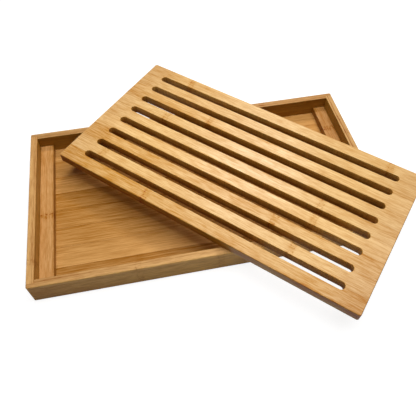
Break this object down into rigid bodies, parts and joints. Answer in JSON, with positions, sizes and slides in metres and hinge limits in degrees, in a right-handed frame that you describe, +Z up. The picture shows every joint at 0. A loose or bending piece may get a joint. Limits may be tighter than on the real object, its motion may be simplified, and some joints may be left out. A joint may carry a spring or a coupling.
{
  "type": "bread board with crumb tray",
  "caption": "Bamboo crumb tray with a slotted bamboo bread board laid across its rim; put away, the board seats on ledges inside the tray.",
  "frame": {"origin": "on the table, under the middle of the whole footprint of the tray with the board laid across it", "axes": "+X along the tray's long side, +Y across the tray from its front rail to its back rail, +Z up"},
  "size_m": [0.4792, 0.4298, 0.0443],
  "materials": {
    "board_bamboo": "pale honey bamboo, sanded and oiled to a satin",
    "rail_bamboo": "laminated bamboo, sanded and oiled to a satin",
    "ledge_bamboo": "pinkish bamboo, sanded and oiled to a satin",
    "floor_bamboo": "golden brown bamboo, sanded and oiled to a satin"
  },
  "bodies": {
    "tray": {"front_rail": "rail_bamboo", "back_rail": "rail_bamboo", "left_rail": "rail_bamboo", "right_rail": "rail_bamboo", "left_ledge": "ledge_bamboo", "right_ledge": "ledge_bamboo", "floor_stave_1": "floor_bamboo", "floor_stave_2": "floor_bamboo", "floor_stave_3": "floor_bamboo", "floor_stave_4": "floor_bamboo", "floor_stave_5": "floor_bamboo", "floor_stave_6": "floor_bamboo", "floor_stave_7": "floor_bamboo", "floor_stave_8": "floor_bamboo"},
    "board": {"board_back_edge": "board_bamboo", "board_slat_1": "board_bamboo", "board_slat_2": "board_bamboo", "board_slat_3": "board_bamboo", "board_slat_4": "board_bamboo", "board_slat_5": "board_bamboo", "board_slat_6": "board_bamboo", "board_slat_7": "board_bamboo", "board_front_edge": "board_bamboo"}
  },
  "joints": [
    {"name": "board_lift", "type": "slide", "parent": "tray", "child": "board", "axis": [0, 0, 1], "range_m": [0, 0.1]}
  ]
}
